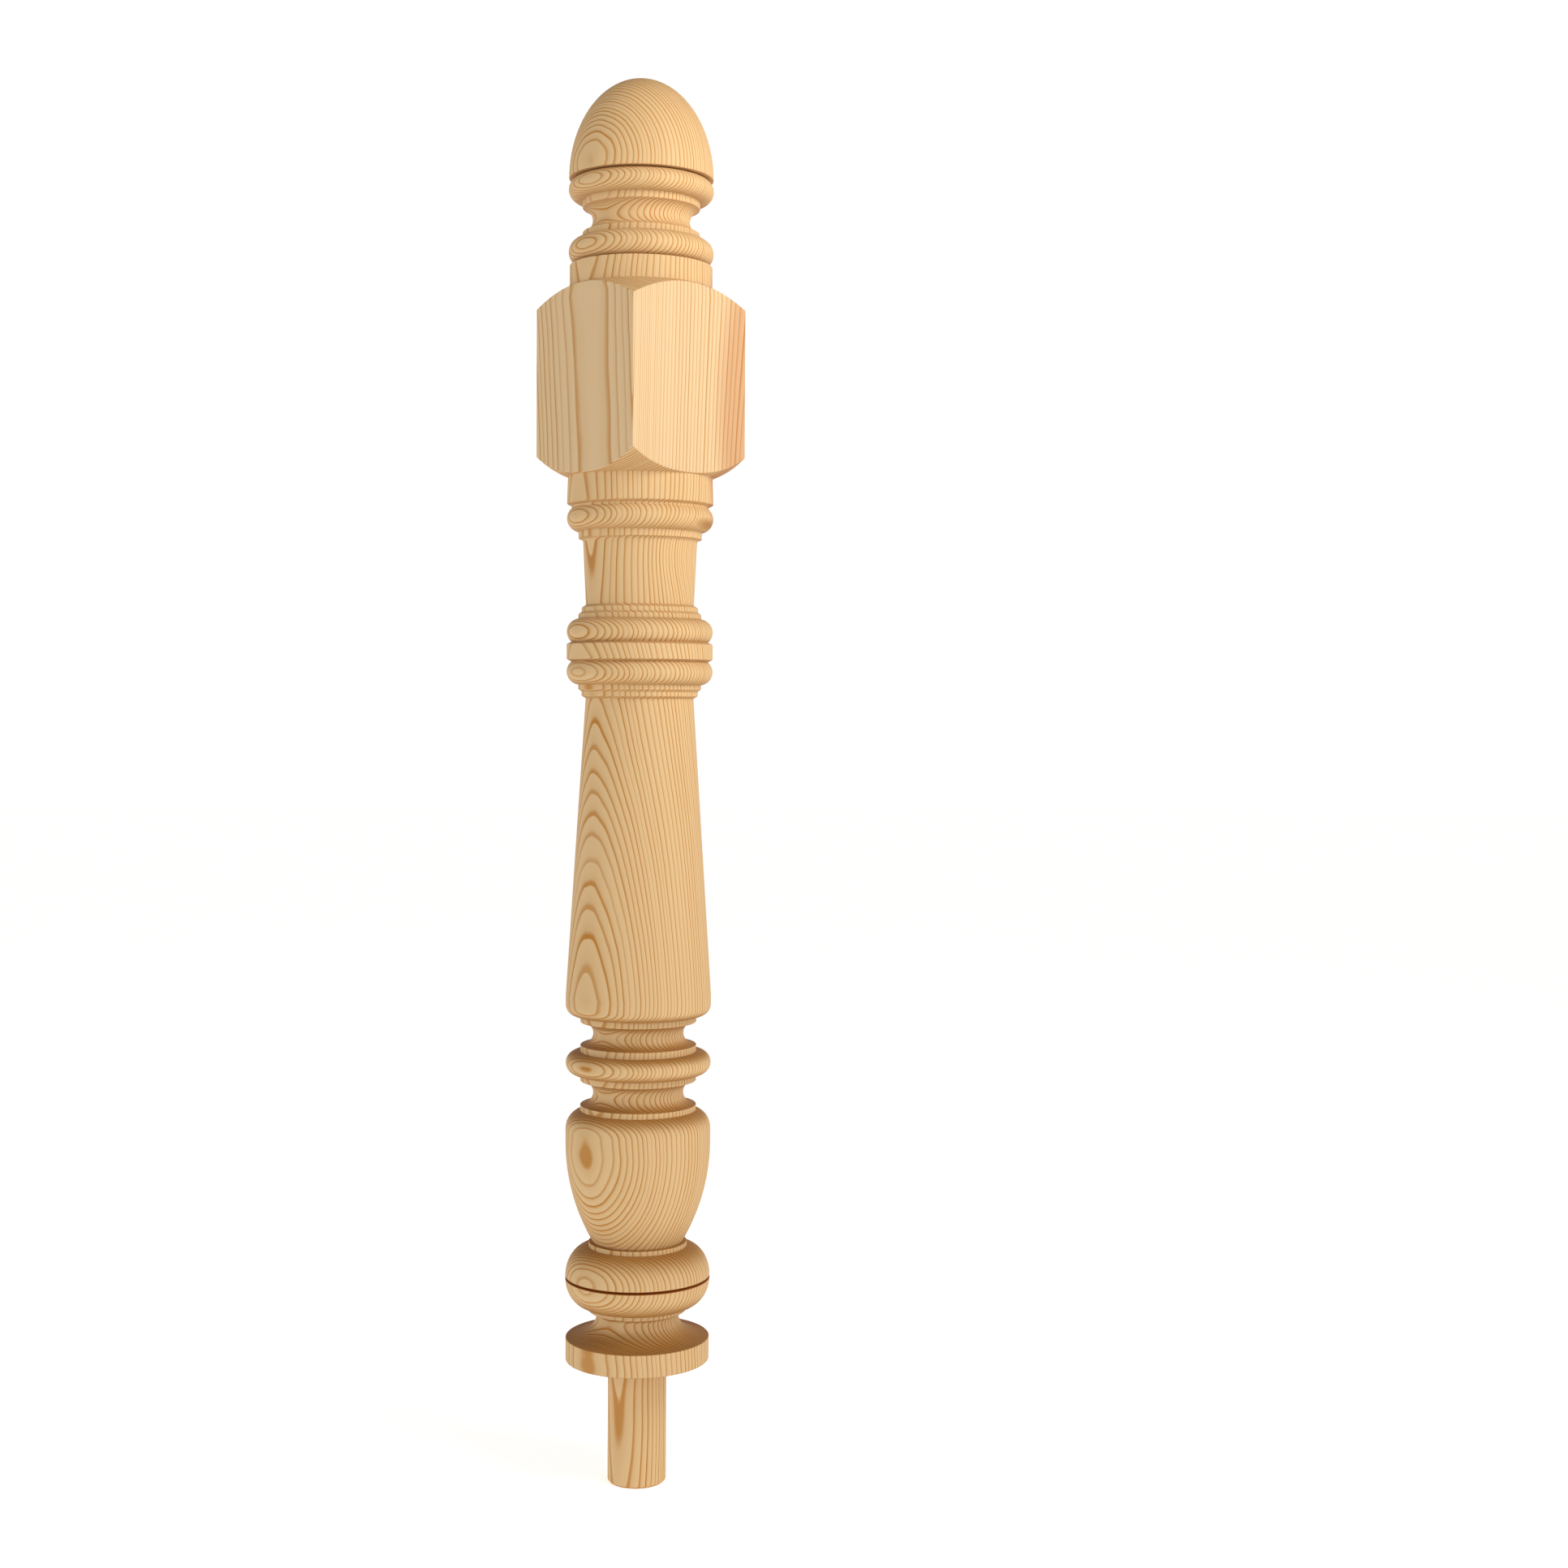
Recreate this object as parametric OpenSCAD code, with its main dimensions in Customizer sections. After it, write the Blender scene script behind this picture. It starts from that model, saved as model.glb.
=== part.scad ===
// Turned pine newel post: an acorn-like cap, a square block for the handrails, a tapered shaft,
// a vase and a swelled foot, all turned from one length of square stock, with a round spigot below.
// Millimetres. +Z is up, and z = 0 is the shoulder that rests on the floor or string.

/* [Stock] */
// Side of the square stock, which the rail block keeps
block_w = 120; // [96:1:150]
// Depth skimmed off each side of the stock where the post is turned full round
skim = 0.8; // [0.5:0.1:3]

/* [Spigot] */
// Diameter of the round spigot below the shoulder
spigot_d = 48; // [30:1:70]
// Length of the spigot, bevel included
spigot_l = 102; // [50:1:160]
// Bevel round the spigot's lower end
spigot_bevel = 1.8; // [0.5:0.1:4]

/* [Foot] */
// Height of the disc that the post stands on
disc_h = 18.5; // [10:0.1:30]
// Depth of the disc's rim behind the full round
disc_depth = 0.4; // [0:0.1:3]
// Height of the hollow that sweeps in from the disc to the waist
sweep_h = 17.5; // [10:0.1:30]
// Height of the small return above the waist
return_h = 4.5; // [2:0.1:8]
// Depth of the waist behind the full round
waist_depth = 25.6; // [18:0.1:28]
// Height of the fillets above and below the swelled foot
foot_fillet_h = 3.9; // [2:0.1:8]
// Depth of those fillets behind the full round
foot_fillet_depth = 19; // [12:0.1:24]
// Width of the flat ledge between each fillet and the swell
foot_ledge = 0.6; // [0:0.1:8]
// Height of the foot's swell below its groove
swell_low_h = 23; // [12:0.1:40]
// Height of the foot's swell above its groove
swell_high_h = 24.4; // [12:0.1:40]
// Width of the V groove round the foot
groove_w = 1.6; // [0.8:0.1:4]
// Depth of that groove
groove_depth = 3; // [0.8:0.1:5]

/* [Vase] */
// Height of the vase from its narrow end up to its fullest
vase_h = 82.3; // [50:0.1:130]
// Depth of the vase's narrow end behind the full round
vase_depth = 22.4; // [16:0.1:26]
// Height of the straight band round the vase
vase_band_h = 11.1; // [4:0.1:30]
// Radius of the vase's round shoulder
vase_shoulder_r = 15.2; // [12.5:0.1:20]

/* [Hollows and beads] */
// Depth of the fillets beside the hollows behind the full round
fillet_depth = 11.9; // [8:0.1:16]
// Height of those fillets
fillet_h = 5.6; // [2:0.1:10]
// Height of the lowest of them, on the vase's shoulder
vase_fillet_h = 4.5; // [2:0.1:10]
// Radius of the lower and the upper hollow under the shaft
hollow_rs = [9.9, 9.3]; // [6:0.1:14]
// Depth of those hollows behind their fillets
hollow_depth = 10.5; // [6:0.1:12]
// Radius of the bead between them
waist_bead_r = 9.1; // [6:0.1:12]

/* [Shaft] */
// Radius of the shaft's rounded foot
shaft_foot_r = 8.6; // [5:0.1:12]
// Height of the straight band above it
shaft_band_h = 8.1; // [2:0.1:30]
// Height of the taper
taper_h = 241.4; // [150:0.1:400]
// Depth of the taper's top behind the full round
taper_depth = 15.4; // [10:0.1:22]

/* [Collar beads] */
// Depth of the thin and the thick step beside the beads behind the full round
step_depths = [12, 9.3]; // [6:0.1:15]
// Height of each step's upright face
step_h = 3.5; // [1:0.1:8]
// Height of the slope between two steps
step_slope_h = 2; // [0.8:0.1:5]
// Radius of the beads
collar_bead_r = 10.7; // [8:0.1:14]
// Depth of the quirks beside the flat band
quirk_depth = 3.8; // [1:0.1:6]
// Height of the slope from a quirk out to the band
quirk_slope_h = 1.8; // [0.5:0.1:4]
// Height of the flat band between the beads
collar_band_h = 12.3; // [5:0.1:30]

/* [Neck] */
// Height of the neck
neck_h = 50.3; // [20:0.1:120]
// Depth of the neck's foot and top behind the full round
neck_depths = [15.4, 13.1]; // [10:0.1:20]
// Height of the small hollow at the neck's top
neck_hollow_h = 3.1; // [1:0.1:8]
// Height of the fillet above it
neck_fillet_h = 5.7; // [2:0.1:12]

/* [Rail block] */
// Height of the turned collar below the block
low_collar_h = 21.7; // [8:0.1:50]
// Height of the turned collar above the block
high_collar_h = 17.8; // [8:0.1:50]
// Depth of each collar behind the full round, where it meets the block
collar_depths = [0.7, 1.7]; // [0:0.1:4]
// Height of the square block along its corners
block_h = 116; // [60:0.1:250]
// Height of each turned shoulder from the collar out to the corner
shoulder_h = 17.7; // [10:0.1:30]
// Height by which the lower and the upper shoulder bow out from a straight slope
shoulder_bows = [2.2, 0.9]; // [0:0.1:3]

/* [Cap] */
// Depth of the cap's beads behind the full round
cap_depth = 0.8; // [0:0.1:3]
// Radius of the lower and the upper bead
cap_bead_rs = [10.8, 8.9]; // [7:0.1:14]
// Radius of the hollow between the beads
cap_hollow_r = 10.1; // [7:0.1:14]
// Depth of that hollow behind its fillets
cap_hollow_depth = 8.2; // [5:0.1:10]
// Height of the fillets beside that hollow, lower and upper
cap_fillet_hs = [4.9, 5.4]; // [2:0.1:10]
// Depth of the acorn's rim behind the full round
acorn_depth = 1; // [0:0.1:3]
// Height of the acorn
acorn_h = 80.2; // [40:0.1:140]

/* [Hidden] */

overlap = 1;
spigot_r = spigot_d / 2;
full_r = block_w / 2 - skim;
corner_r = block_w / 2 * sqrt(2) + overlap;
disc_r = full_r - disc_depth;
waist_r = full_r - waist_depth;
foot_fillet_r = full_r - foot_fillet_depth;
fillet_r = full_r - fillet_depth;
step_rs = [for (depth = step_depths) full_r - depth];
quirk_r = full_r - quirk_depth;
neck_rs = [for (depth = neck_depths) full_r - depth];
collar_rs = [for (depth = collar_depths) full_r - depth];
cap_r = full_r - cap_depth;
acorn_r = full_r - acorn_depth;
arc_steps = 12;
long_steps = 24;
$fn = 96;

// Every moulding is [height, points], where each point is [radius, height above the moulding's base].

// Points of an elliptical arc, from angle a0 to a1
function arc(r, z, half_w, half_h, a0, a1, steps = arc_steps) =
    [for (i = [0:steps]) let (a = a0 + (a1 - a0) * i / steps) [r + half_w * cos(a), z + half_h * sin(a)]];

// Angle at which a round of radius rad, centred at radius c, reaches radius r
function meets(r, c, rad) = acos(max(0, min(1, (r - c) / rad)));

function band(h, r) = [h, [[r, 0], [r, h]]];
function slope(h, r0, r1) = [h, [[r0, 0], [r1, h]]];

// Round bead out to radius r, which starts from radius r0 and ends at radius r1
function bead(rad, r, r0, r1) =
    let (c = r - rad, a0 = -meets(r0, c, rad), a1 = meets(r1, c, rad), low = rad * sin(a0))
    [rad * sin(a1) - low, arc(c, -low, rad, rad, a0, a1, 2 * arc_steps)];

// Round hollow cut in from radius r by the given depth
function hollow(rad, r, depth) =
    let (c = r - depth + rad, a = meets(c - r, 0, rad), half_h = rad * sin(a))
    [2 * half_h, arc(c, half_h, rad, rad, 180 + a, 180 - a, 2 * arc_steps)];

// Lower and upper half of a swell that is fullest at radius r, over a flat ledge out to radius r0 or r1
function swell_low(h, r0, r) = [h, arc(r0, h, r - r0, h, -90, 0, long_steps)];
function swell_high(h, r, r1) = [h, arc(r1, 0, r - r1, h, 0, 90, long_steps)];

// Hollow that sweeps in from radius r0 to r, and its small return out to radius r1
function sweep_in(h, r0, r) = [h, arc(r0, h, r0 - r, h, 270, 180, long_steps)];
function sweep_out(h, r, r1) = [h, arc(r1, 0, r1 - r, h, 180, 90)];

// Belly that rises on one round arc from radius r0 to its fullest, radius r
function belly(h, r0, r) =
    let (s = r - r0, rad = (h * h + s * s) / (2 * s))
    [h, arc(r - rad, h, rad, rad, -asin(h / rad), 0, long_steps)];

// Turned shoulder between radii r0 and r1, which bows out by the given height from a straight slope
function shoulder(h, r0, r1, bow) =
    [h, [for (i = [0:arc_steps]) let (t = i / arc_steps)
        [r0 + (r1 - r0) * t, h * t - 4 * bow * t * (1 - t) * sign(r1 - r0)]]];

function v_groove(w, depth, r) = [w, [[r, 0], [r - depth, w / 2], [r, w]]];

steps_low = [
    slope(step_slope_h, full_r - taper_depth, step_rs[0]),
    band(step_h, step_rs[0]),
    slope(step_slope_h, step_rs[0], step_rs[1]),
    band(step_h, step_rs[1]),
];
steps_high = [
    band(step_h, step_rs[1]),
    slope(step_slope_h, step_rs[1], step_rs[0]),
    band(step_h, step_rs[0]),
    slope(step_slope_h, step_rs[0], neck_rs[0]),
];

foot = [
    band(disc_h, disc_r),
    sweep_in(sweep_h, disc_r, waist_r),
    sweep_out(return_h, waist_r, foot_fillet_r),
    band(foot_fillet_h, foot_fillet_r),
    swell_low(swell_low_h, foot_fillet_r + foot_ledge, full_r),
    v_groove(groove_w, groove_depth, full_r),
    swell_high(swell_high_h, full_r, foot_fillet_r + foot_ledge),
    band(foot_fillet_h, foot_fillet_r),
];
vase = [
    belly(vase_h, full_r - vase_depth, full_r),
    band(vase_band_h, full_r),
    bead(vase_shoulder_r, full_r, full_r, fillet_r),
];
hollows = [
    band(vase_fillet_h, fillet_r),
    hollow(hollow_rs[0], fillet_r, hollow_depth),
    band(fillet_h, fillet_r),
    bead(waist_bead_r, full_r, fillet_r, fillet_r),
    band(fillet_h, fillet_r),
    hollow(hollow_rs[1], fillet_r, hollow_depth),
    band(fillet_h, fillet_r),
];
shaft = [
    bead(shaft_foot_r, full_r, fillet_r, full_r),
    band(shaft_band_h, full_r),
    slope(taper_h, full_r, full_r - taper_depth),
];
collar_beads = concat(
    steps_low,
    [
        bead(collar_bead_r, full_r, step_rs[1], quirk_r),
        slope(quirk_slope_h, quirk_r, full_r),
        band(collar_band_h, full_r),
        slope(quirk_slope_h, full_r, quirk_r),
        bead(collar_bead_r, full_r, quirk_r, step_rs[1]),
    ],
    steps_high
);
neck = [
    slope(neck_h, neck_rs[0], neck_rs[1]),
    sweep_out(neck_hollow_h, neck_rs[1], step_rs[1]),
    band(neck_fillet_h, step_rs[1]),
];
rail_block = [
    bead(collar_bead_r, full_r, step_rs[1], quirk_r),
    band(quirk_slope_h, quirk_r),
    slope(quirk_slope_h, quirk_r, full_r),
    slope(low_collar_h, full_r, collar_rs[0]),
    shoulder(shoulder_h, collar_rs[0], corner_r, shoulder_bows[0]),
    band(block_h, corner_r),
    shoulder(shoulder_h, corner_r, collar_rs[1], shoulder_bows[1]),
    band(high_collar_h, collar_rs[1]),
];
cap = [
    bead(cap_bead_rs[0], cap_r, fillet_r, fillet_r),
    band(cap_fillet_hs[0], fillet_r),
    hollow(cap_hollow_r, fillet_r, cap_hollow_depth),
    band(cap_fillet_hs[1], fillet_r),
    bead(cap_bead_rs[1], cap_r, fillet_r, fillet_r),
    swell_high(acorn_h, acorn_r, 0),
];
mouldings = concat(foot, vase, hollows, shaft, collar_beads, neck, rail_block, cap);

// Height of the base of moulding i above the shoulder
function base_z(i) = i == 0 ? 0 : base_z(i - 1) + mouldings[i - 1][0];

post_h = base_z(len(mouldings));
outline = concat(
    [for (i = [0:len(mouldings) - 1]) let (z = base_z(i)) for (p = mouldings[i][1]) [max(p[0], 0), p[1] + z]],
    [[0, 0]]
);

module turned_blank() {
    rotate_extrude() polygon(outline);
}

module square_stock() {
    translate([-block_w / 2, -block_w / 2, -overlap]) cube([block_w, block_w, post_h + 2 * overlap]);
}

module spigot() {
    rotate_extrude() polygon([
        [0, -spigot_l],
        [spigot_r - spigot_bevel, -spigot_l],
        [spigot_r, spigot_bevel - spigot_l],
        [spigot_r, overlap],
        [0, overlap],
    ]);
}

module newel_post() {
    color([0.85, 0.69, 0.49]) {
        intersection() {
            turned_blank();
            square_stock();
        }
        spigot();
    }
}

newel_post();
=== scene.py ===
"""Turned pine newel post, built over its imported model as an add-on: post, wood and a plain studio."""

import math

import bpy
from bpy.props import FloatProperty, FloatVectorProperty, IntProperty, PointerProperty
from mathutils import Matrix, Vector


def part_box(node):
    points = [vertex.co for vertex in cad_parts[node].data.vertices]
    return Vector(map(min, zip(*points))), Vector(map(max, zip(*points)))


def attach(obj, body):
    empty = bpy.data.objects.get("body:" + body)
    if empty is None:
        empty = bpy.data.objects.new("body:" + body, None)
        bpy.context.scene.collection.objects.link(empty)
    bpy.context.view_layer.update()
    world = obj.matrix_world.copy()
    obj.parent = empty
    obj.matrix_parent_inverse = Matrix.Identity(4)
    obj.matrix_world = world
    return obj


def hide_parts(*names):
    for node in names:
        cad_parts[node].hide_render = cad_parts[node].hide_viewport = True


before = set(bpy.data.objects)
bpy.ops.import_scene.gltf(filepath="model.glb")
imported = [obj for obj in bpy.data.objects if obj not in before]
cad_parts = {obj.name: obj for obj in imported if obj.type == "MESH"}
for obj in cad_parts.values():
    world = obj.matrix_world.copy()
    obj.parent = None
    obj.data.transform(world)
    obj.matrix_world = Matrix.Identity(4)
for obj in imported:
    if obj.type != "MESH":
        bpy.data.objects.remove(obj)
CAD_LOW, CAD_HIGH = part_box("newel_post")
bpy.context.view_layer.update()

bl_info = {
    "name": "Turned Newel Post",
    "version": (1, 0, 0),
    "blender": (4, 5, 0),
    "location": "3D View > Sidebar > Newel Post",
    "description": "A turned pine newel post with a square rail block, and a plain studio to see it in",
    "category": "Add Mesh",
}

# Facets along each kind of curve in the outline
BEAD_STEPS = 18
BEAD_LEAST_STEPS = 6
HOLLOW_STEPS = 16
SWEEP_STEPS = 12
LONG_STEPS = 26
SHOULDER_STEPS = 8
# How far past the stock's corner a shoulder's slope is taken to run
CORNER_OVERRUN = 0.001
# Points of the outline closer than this are one point
SAME_POINT = 1e-6
# An outer edge that turns more than so many degrees is sanded, over at most this share of each side
EASED_TURN = 24
EASED_SHARE = 0.35


def length(name, description, default):
    """A length that a user can set."""
    return FloatProperty(name=name, description=description, default=default, unit="LENGTH", precision=4)


def lengths(name, description, default):
    """Two lengths that belong together, the lower one first."""
    return FloatVectorProperty(name=name, description=description, default=default, size=2,
                               unit="LENGTH", precision=4)


def colour(name, description, code):
    """A colour given as an sRGB hex value."""
    return FloatVectorProperty(name=name, description=description, default=linear(code), size=3,
                               subtype="COLOR", min=0, max=1)


def linear(code):
    """The linear colour of an sRGB hex value."""
    parts = [int(code[i:i + 2], 16) / 255 for i in (0, 2, 4)]
    return [c / 12.92 if c <= 0.04045 else ((c + 0.055) / 1.055) ** 2.4 for c in parts]


class NewelPine(bpy.types.PropertyGroup):
    """The wood: its colours and its growth rings."""

    early: colour("Earlywood", "The pale spring wood of each ring", "D5B383")
    late: colour("Latewood", "The dense summer wood of each ring", "B4782C")
    knot: colour("Knot", "The knot under the rail block", "9E6A2E")
    # A dark brown band painted along the groove round the foot
    groove_band: colour("Burnt groove", "The groove round the foot, browned by friction", "8E4C0E")
    heart: colour("Heartwood", "Tint of the heartwood near the pith", "EED9CE")
    ring_fast: length("Wide rings", "Width of the rings that the tree grew while it was young", 0.0033)
    ring_slow: length("Narrow rings", "Width of its later rings", 0.002)
    slow_r: length("Slower growth", "Distance from the pith at which the rings become narrow", 0.130)
    ripple: length("Ripple", "How far the rings ripple from true rounds", 0.0014)


class NewelSizes(bpy.types.PropertyGroup):
    """Sizes of the turned post. Depths are measured inwards from its full round."""

    block_w: length("Block width", "Side of the square stock, which the rail block keeps",
                    CAD_HIGH.x - CAD_LOW.x)
    skim: length("Skim", "Depth skimmed off each side of the stock where the post is turned full round",
                 0.0008)
    arris: length("Arris", "Radius of the block's sanded upright edges", 0.0012)
    easing: length("Easing", "Width of the sanded flat along each turned edge", 0.00035)

    spigot_d: length("Spigot diameter", "Diameter of the round spigot below the shoulder", 0.048)
    spigot_l: length("Spigot length", "Length of the spigot, bevel included", -CAD_LOW.z)
    spigot_bevel: length("Spigot bevel", "Bevel round the spigot's lower end", 0.0018)

    disc_h: length("Disc height", "Height of the disc that the post stands on", 0.0185)
    disc_depth: length("Disc depth", "Depth of the disc's rim", 0.0004)
    sweep_h: length("Sweep height", "Height of the hollow that sweeps in from the disc to the waist",
                    0.0175)
    return_h: length("Return height", "Height of the small return above the waist", 0.0045)
    waist_depth: length("Waist depth", "Depth of the waist", 0.0256)
    foot_fillet_h: length("Foot fillet height", "Height of the fillets above and below the swelled foot",
                          0.0039)
    foot_fillet_depth: length("Foot fillet depth", "Depth of those fillets", 0.019)
    foot_ledge: length("Foot ledge", "Width of the flat ledge between each fillet and the swell", 0.0006)
    swell_hs: lengths("Swell heights", "Height of the foot's swell below and above its groove",
                      (0.023, 0.0244))
    groove_w: length("Groove width", "Width of the V groove round the foot", 0.0016)
    groove_depth: length("Groove depth", "Depth of that groove", 0.003)

    vase_h: length("Vase height", "Height of the vase from its narrow end up to its fullest", 0.0823)
    vase_depth: length("Vase depth", "Depth of the vase's narrow end", 0.0224)
    vase_band_h: length("Vase band", "Height of the straight band round the vase", 0.0111)
    vase_shoulder_r: length("Vase shoulder", "Radius of the vase's round shoulder", 0.0152)

    fillet_depth: length("Fillet depth", "Depth of the fillets beside the hollows", 0.0119)
    fillet_h: length("Fillet height", "Height of those fillets", 0.0056)
    vase_fillet_h: length("Vase fillet height", "Height of the lowest of them, on the vase's shoulder",
                          0.0045)
    hollow_rs: lengths("Hollow radii", "Radius of the lower and the upper hollow under the shaft",
                       (0.0099, 0.0093))
    hollow_depth: length("Hollow depth", "Depth of those hollows behind their fillets", 0.0105)
    waist_bead_r: length("Waist bead", "Radius of the bead between them", 0.0091)

    shaft_foot_r: length("Shaft foot", "Radius of the shaft's rounded foot", 0.0086)
    shaft_band_h: length("Shaft band", "Height of the straight band above it", 0.0081)
    taper_h: length("Taper height", "Height of the taper", 0.2414)
    taper_depth: length("Taper depth", "Depth of the taper's top", 0.0154)

    step_depths: lengths("Step depths", "Depth of the thin and the thick step beside the beads",
                         (0.012, 0.0093))
    step_h: length("Step height", "Height of each step's upright face", 0.0035)
    step_slope_h: length("Step slope", "Height of the slope between two steps", 0.002)
    collar_bead_r: length("Collar bead", "Radius of the beads", 0.0107)
    quirk_depth: length("Quirk depth", "Depth of the quirks beside the flat band", 0.0038)
    quirk_slope_h: length("Quirk slope", "Height of the slope from a quirk out to the band", 0.0018)
    collar_band_h: length("Collar band", "Height of the flat band between the beads", 0.0123)

    neck_h: length("Neck height", "Height of the neck", 0.0503)
    neck_depths: lengths("Neck depths", "Depth of the neck's foot and top", (0.0154, 0.0131))
    neck_hollow_h: length("Neck hollow", "Height of the small hollow at the neck's top", 0.0031)
    neck_fillet_h: length("Neck fillet", "Height of the fillet above it", 0.0057)

    collar_hs: lengths("Collar heights", "Height of the turned collar below and above the block",
                       (0.0217, 0.0178))
    collar_depths: lengths("Collar depths", "Depth of each collar where it meets the block",
                           (0.0007, 0.0017))
    block_h: length("Block height", "Height of the square block along its corners", 0.116)
    shoulder_h: length("Shoulder height",
                       "Height of each turned shoulder, from the collar out to the corner", 0.0177)
    shoulder_bows: lengths("Shoulder bows", "Height by which each shoulder bows out from a straight slope",
                           (0.0022, 0.0009))

    cap_depth: length("Cap depth", "Depth of the cap's beads", 0.0008)
    cap_bead_rs: lengths("Cap beads", "Radius of the lower and the upper bead", (0.0108, 0.0089))
    cap_hollow_r: length("Cap hollow", "Radius of the hollow between the beads", 0.0101)
    cap_hollow_depth: length("Cap hollow depth", "Depth of that hollow behind its fillets", 0.0082)
    cap_fillet_hs: lengths("Cap fillets", "Height of the fillets beside that hollow", (0.0049, 0.0054))
    acorn_depth: length("Acorn depth", "Depth of the acorn's rim", 0.001)
    acorn_h: length("Acorn height", "Height of the acorn", 0.0802)

    columns: IntProperty(name="Columns", description="Facets from the middle of a face to a corner",
                         default=30, min=8)


# Outline of the turning ---------------------------------------------------------------------------

# A moulding is (height, points), and each point is (radius, height above the moulding's base).


def arc(r, z, half_w, half_h, start, end, steps):
    """Points of an elliptical arc from angle start to angle end, in degrees."""
    angles = [math.radians(start + (end - start) * i / steps) for i in range(steps + 1)]
    return [(r + half_w * math.cos(a), z + half_h * math.sin(a)) for a in angles]


def meets(r, centre, rad):
    """Angle at which a round of radius rad about radius centre reaches radius r."""
    return math.degrees(math.acos(max(0, min(1, (r - centre) / rad))))


def band(h, r):
    return h, [(r, 0), (r, h)]


def slope(h, r0, r1):
    return h, [(r0, 0), (r1, h)]


def bead(rad, r, r0, r1):
    """Round bead out to radius r, from radius r0 to radius r1."""
    start, end = -meets(r0, r - rad, rad), meets(r1, r - rad, rad)
    low, high = (rad * math.sin(math.radians(a)) for a in (start, end))
    steps = max(BEAD_LEAST_STEPS, round(BEAD_STEPS * (end - start) / 180))
    return high - low, arc(r - rad, -low, rad, rad, start, end, steps)


def hollow(rad, r, depth):
    """Round hollow cut in from radius r."""
    a = meets(rad - depth, 0, rad)
    half_h = rad * math.sin(math.radians(a))
    return 2 * half_h, arc(r - depth + rad, half_h, rad, rad, 180 + a, 180 - a, HOLLOW_STEPS)


def swell_low(h, r0, r):
    return h, arc(r0, h, r - r0, h, -90, 0, LONG_STEPS // 2)


def swell_high(h, r, r1, steps=LONG_STEPS // 2):
    return h, arc(r1, 0, r - r1, h, 0, 90, steps)


def sweep_in(h, r0, r):
    return h, arc(r0, h, r0 - r, h, 270, 180, SWEEP_STEPS)


def sweep_out(h, r, r1):
    return h, arc(r1, 0, r1 - r, h, 180, 90, SWEEP_STEPS // 2)


def belly(h, r0, r):
    """One round arc from radius r0 out to its fullest, radius r."""
    s = r - r0
    rad = (h * h + s * s) / (2 * s)
    return h, arc(r - rad, h, rad, rad, -math.degrees(math.asin(h / rad)), 0, LONG_STEPS)


def v_groove(w, depth, r):
    return w, [(r, 0), (r - depth, w / 2), (r, w)]


def mouldings(s):
    """The mouldings below and above the rail block, each list from its lowest up."""
    full_r = s.block_w / 2 - s.skim
    disc_r = full_r - s.disc_depth
    waist_r = full_r - s.waist_depth
    foot_r = full_r - s.foot_fillet_depth
    fillet_r = full_r - s.fillet_depth
    steps = [full_r - depth for depth in s.step_depths]
    quirk_r = full_r - s.quirk_depth
    taper_r = full_r - s.taper_depth
    necks = [full_r - depth for depth in s.neck_depths]
    collars = [full_r - depth for depth in s.collar_depths]
    cap_r = full_r - s.cap_depth
    below = [
        band(s.disc_h, disc_r),
        sweep_in(s.sweep_h, disc_r, waist_r),
        sweep_out(s.return_h, waist_r, foot_r),
        band(s.foot_fillet_h, foot_r),
        swell_low(s.swell_hs[0], foot_r + s.foot_ledge, full_r),
        v_groove(s.groove_w, s.groove_depth, full_r),
        swell_high(s.swell_hs[1], full_r, foot_r + s.foot_ledge),
        band(s.foot_fillet_h, foot_r),
        belly(s.vase_h, full_r - s.vase_depth, full_r),
        band(s.vase_band_h, full_r),
        bead(s.vase_shoulder_r, full_r, full_r, fillet_r),
        band(s.vase_fillet_h, fillet_r),
        hollow(s.hollow_rs[0], fillet_r, s.hollow_depth),
        band(s.fillet_h, fillet_r),
        bead(s.waist_bead_r, full_r, fillet_r, fillet_r),
        band(s.fillet_h, fillet_r),
        hollow(s.hollow_rs[1], fillet_r, s.hollow_depth),
        band(s.fillet_h, fillet_r),
        bead(s.shaft_foot_r, full_r, fillet_r, full_r),
        band(s.shaft_band_h, full_r),
        slope(s.taper_h, full_r, taper_r),
        slope(s.step_slope_h, taper_r, steps[0]),
        band(s.step_h, steps[0]),
        slope(s.step_slope_h, *steps),
        band(s.step_h, steps[1]),
        bead(s.collar_bead_r, full_r, steps[1], quirk_r),
        slope(s.quirk_slope_h, quirk_r, full_r),
        band(s.collar_band_h, full_r),
        slope(s.quirk_slope_h, full_r, quirk_r),
        bead(s.collar_bead_r, full_r, quirk_r, steps[1]),
        band(s.step_h, steps[1]),
        slope(s.step_slope_h, *reversed(steps)),
        band(s.step_h, steps[0]),
        slope(s.step_slope_h, steps[0], necks[0]),
        slope(s.neck_h, *necks),
        sweep_out(s.neck_hollow_h, necks[1], steps[1]),
        band(s.neck_fillet_h, steps[1]),
        bead(s.collar_bead_r, full_r, steps[1], quirk_r),
        band(s.quirk_slope_h, quirk_r),
        slope(s.quirk_slope_h, quirk_r, full_r),
        slope(s.collar_hs[0], full_r, collars[0]),
    ]
    above = [
        band(s.collar_hs[1], collars[1]),
        bead(s.cap_bead_rs[0], cap_r, fillet_r, fillet_r),
        band(s.cap_fillet_hs[0], fillet_r),
        hollow(s.cap_hollow_r, fillet_r, s.cap_hollow_depth),
        band(s.cap_fillet_hs[1], fillet_r),
        bead(s.cap_bead_rs[1], cap_r, fillet_r, fillet_r),
        swell_high(s.acorn_h, full_r - s.acorn_depth, 0, LONG_STEPS),
    ]
    return below, above


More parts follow.
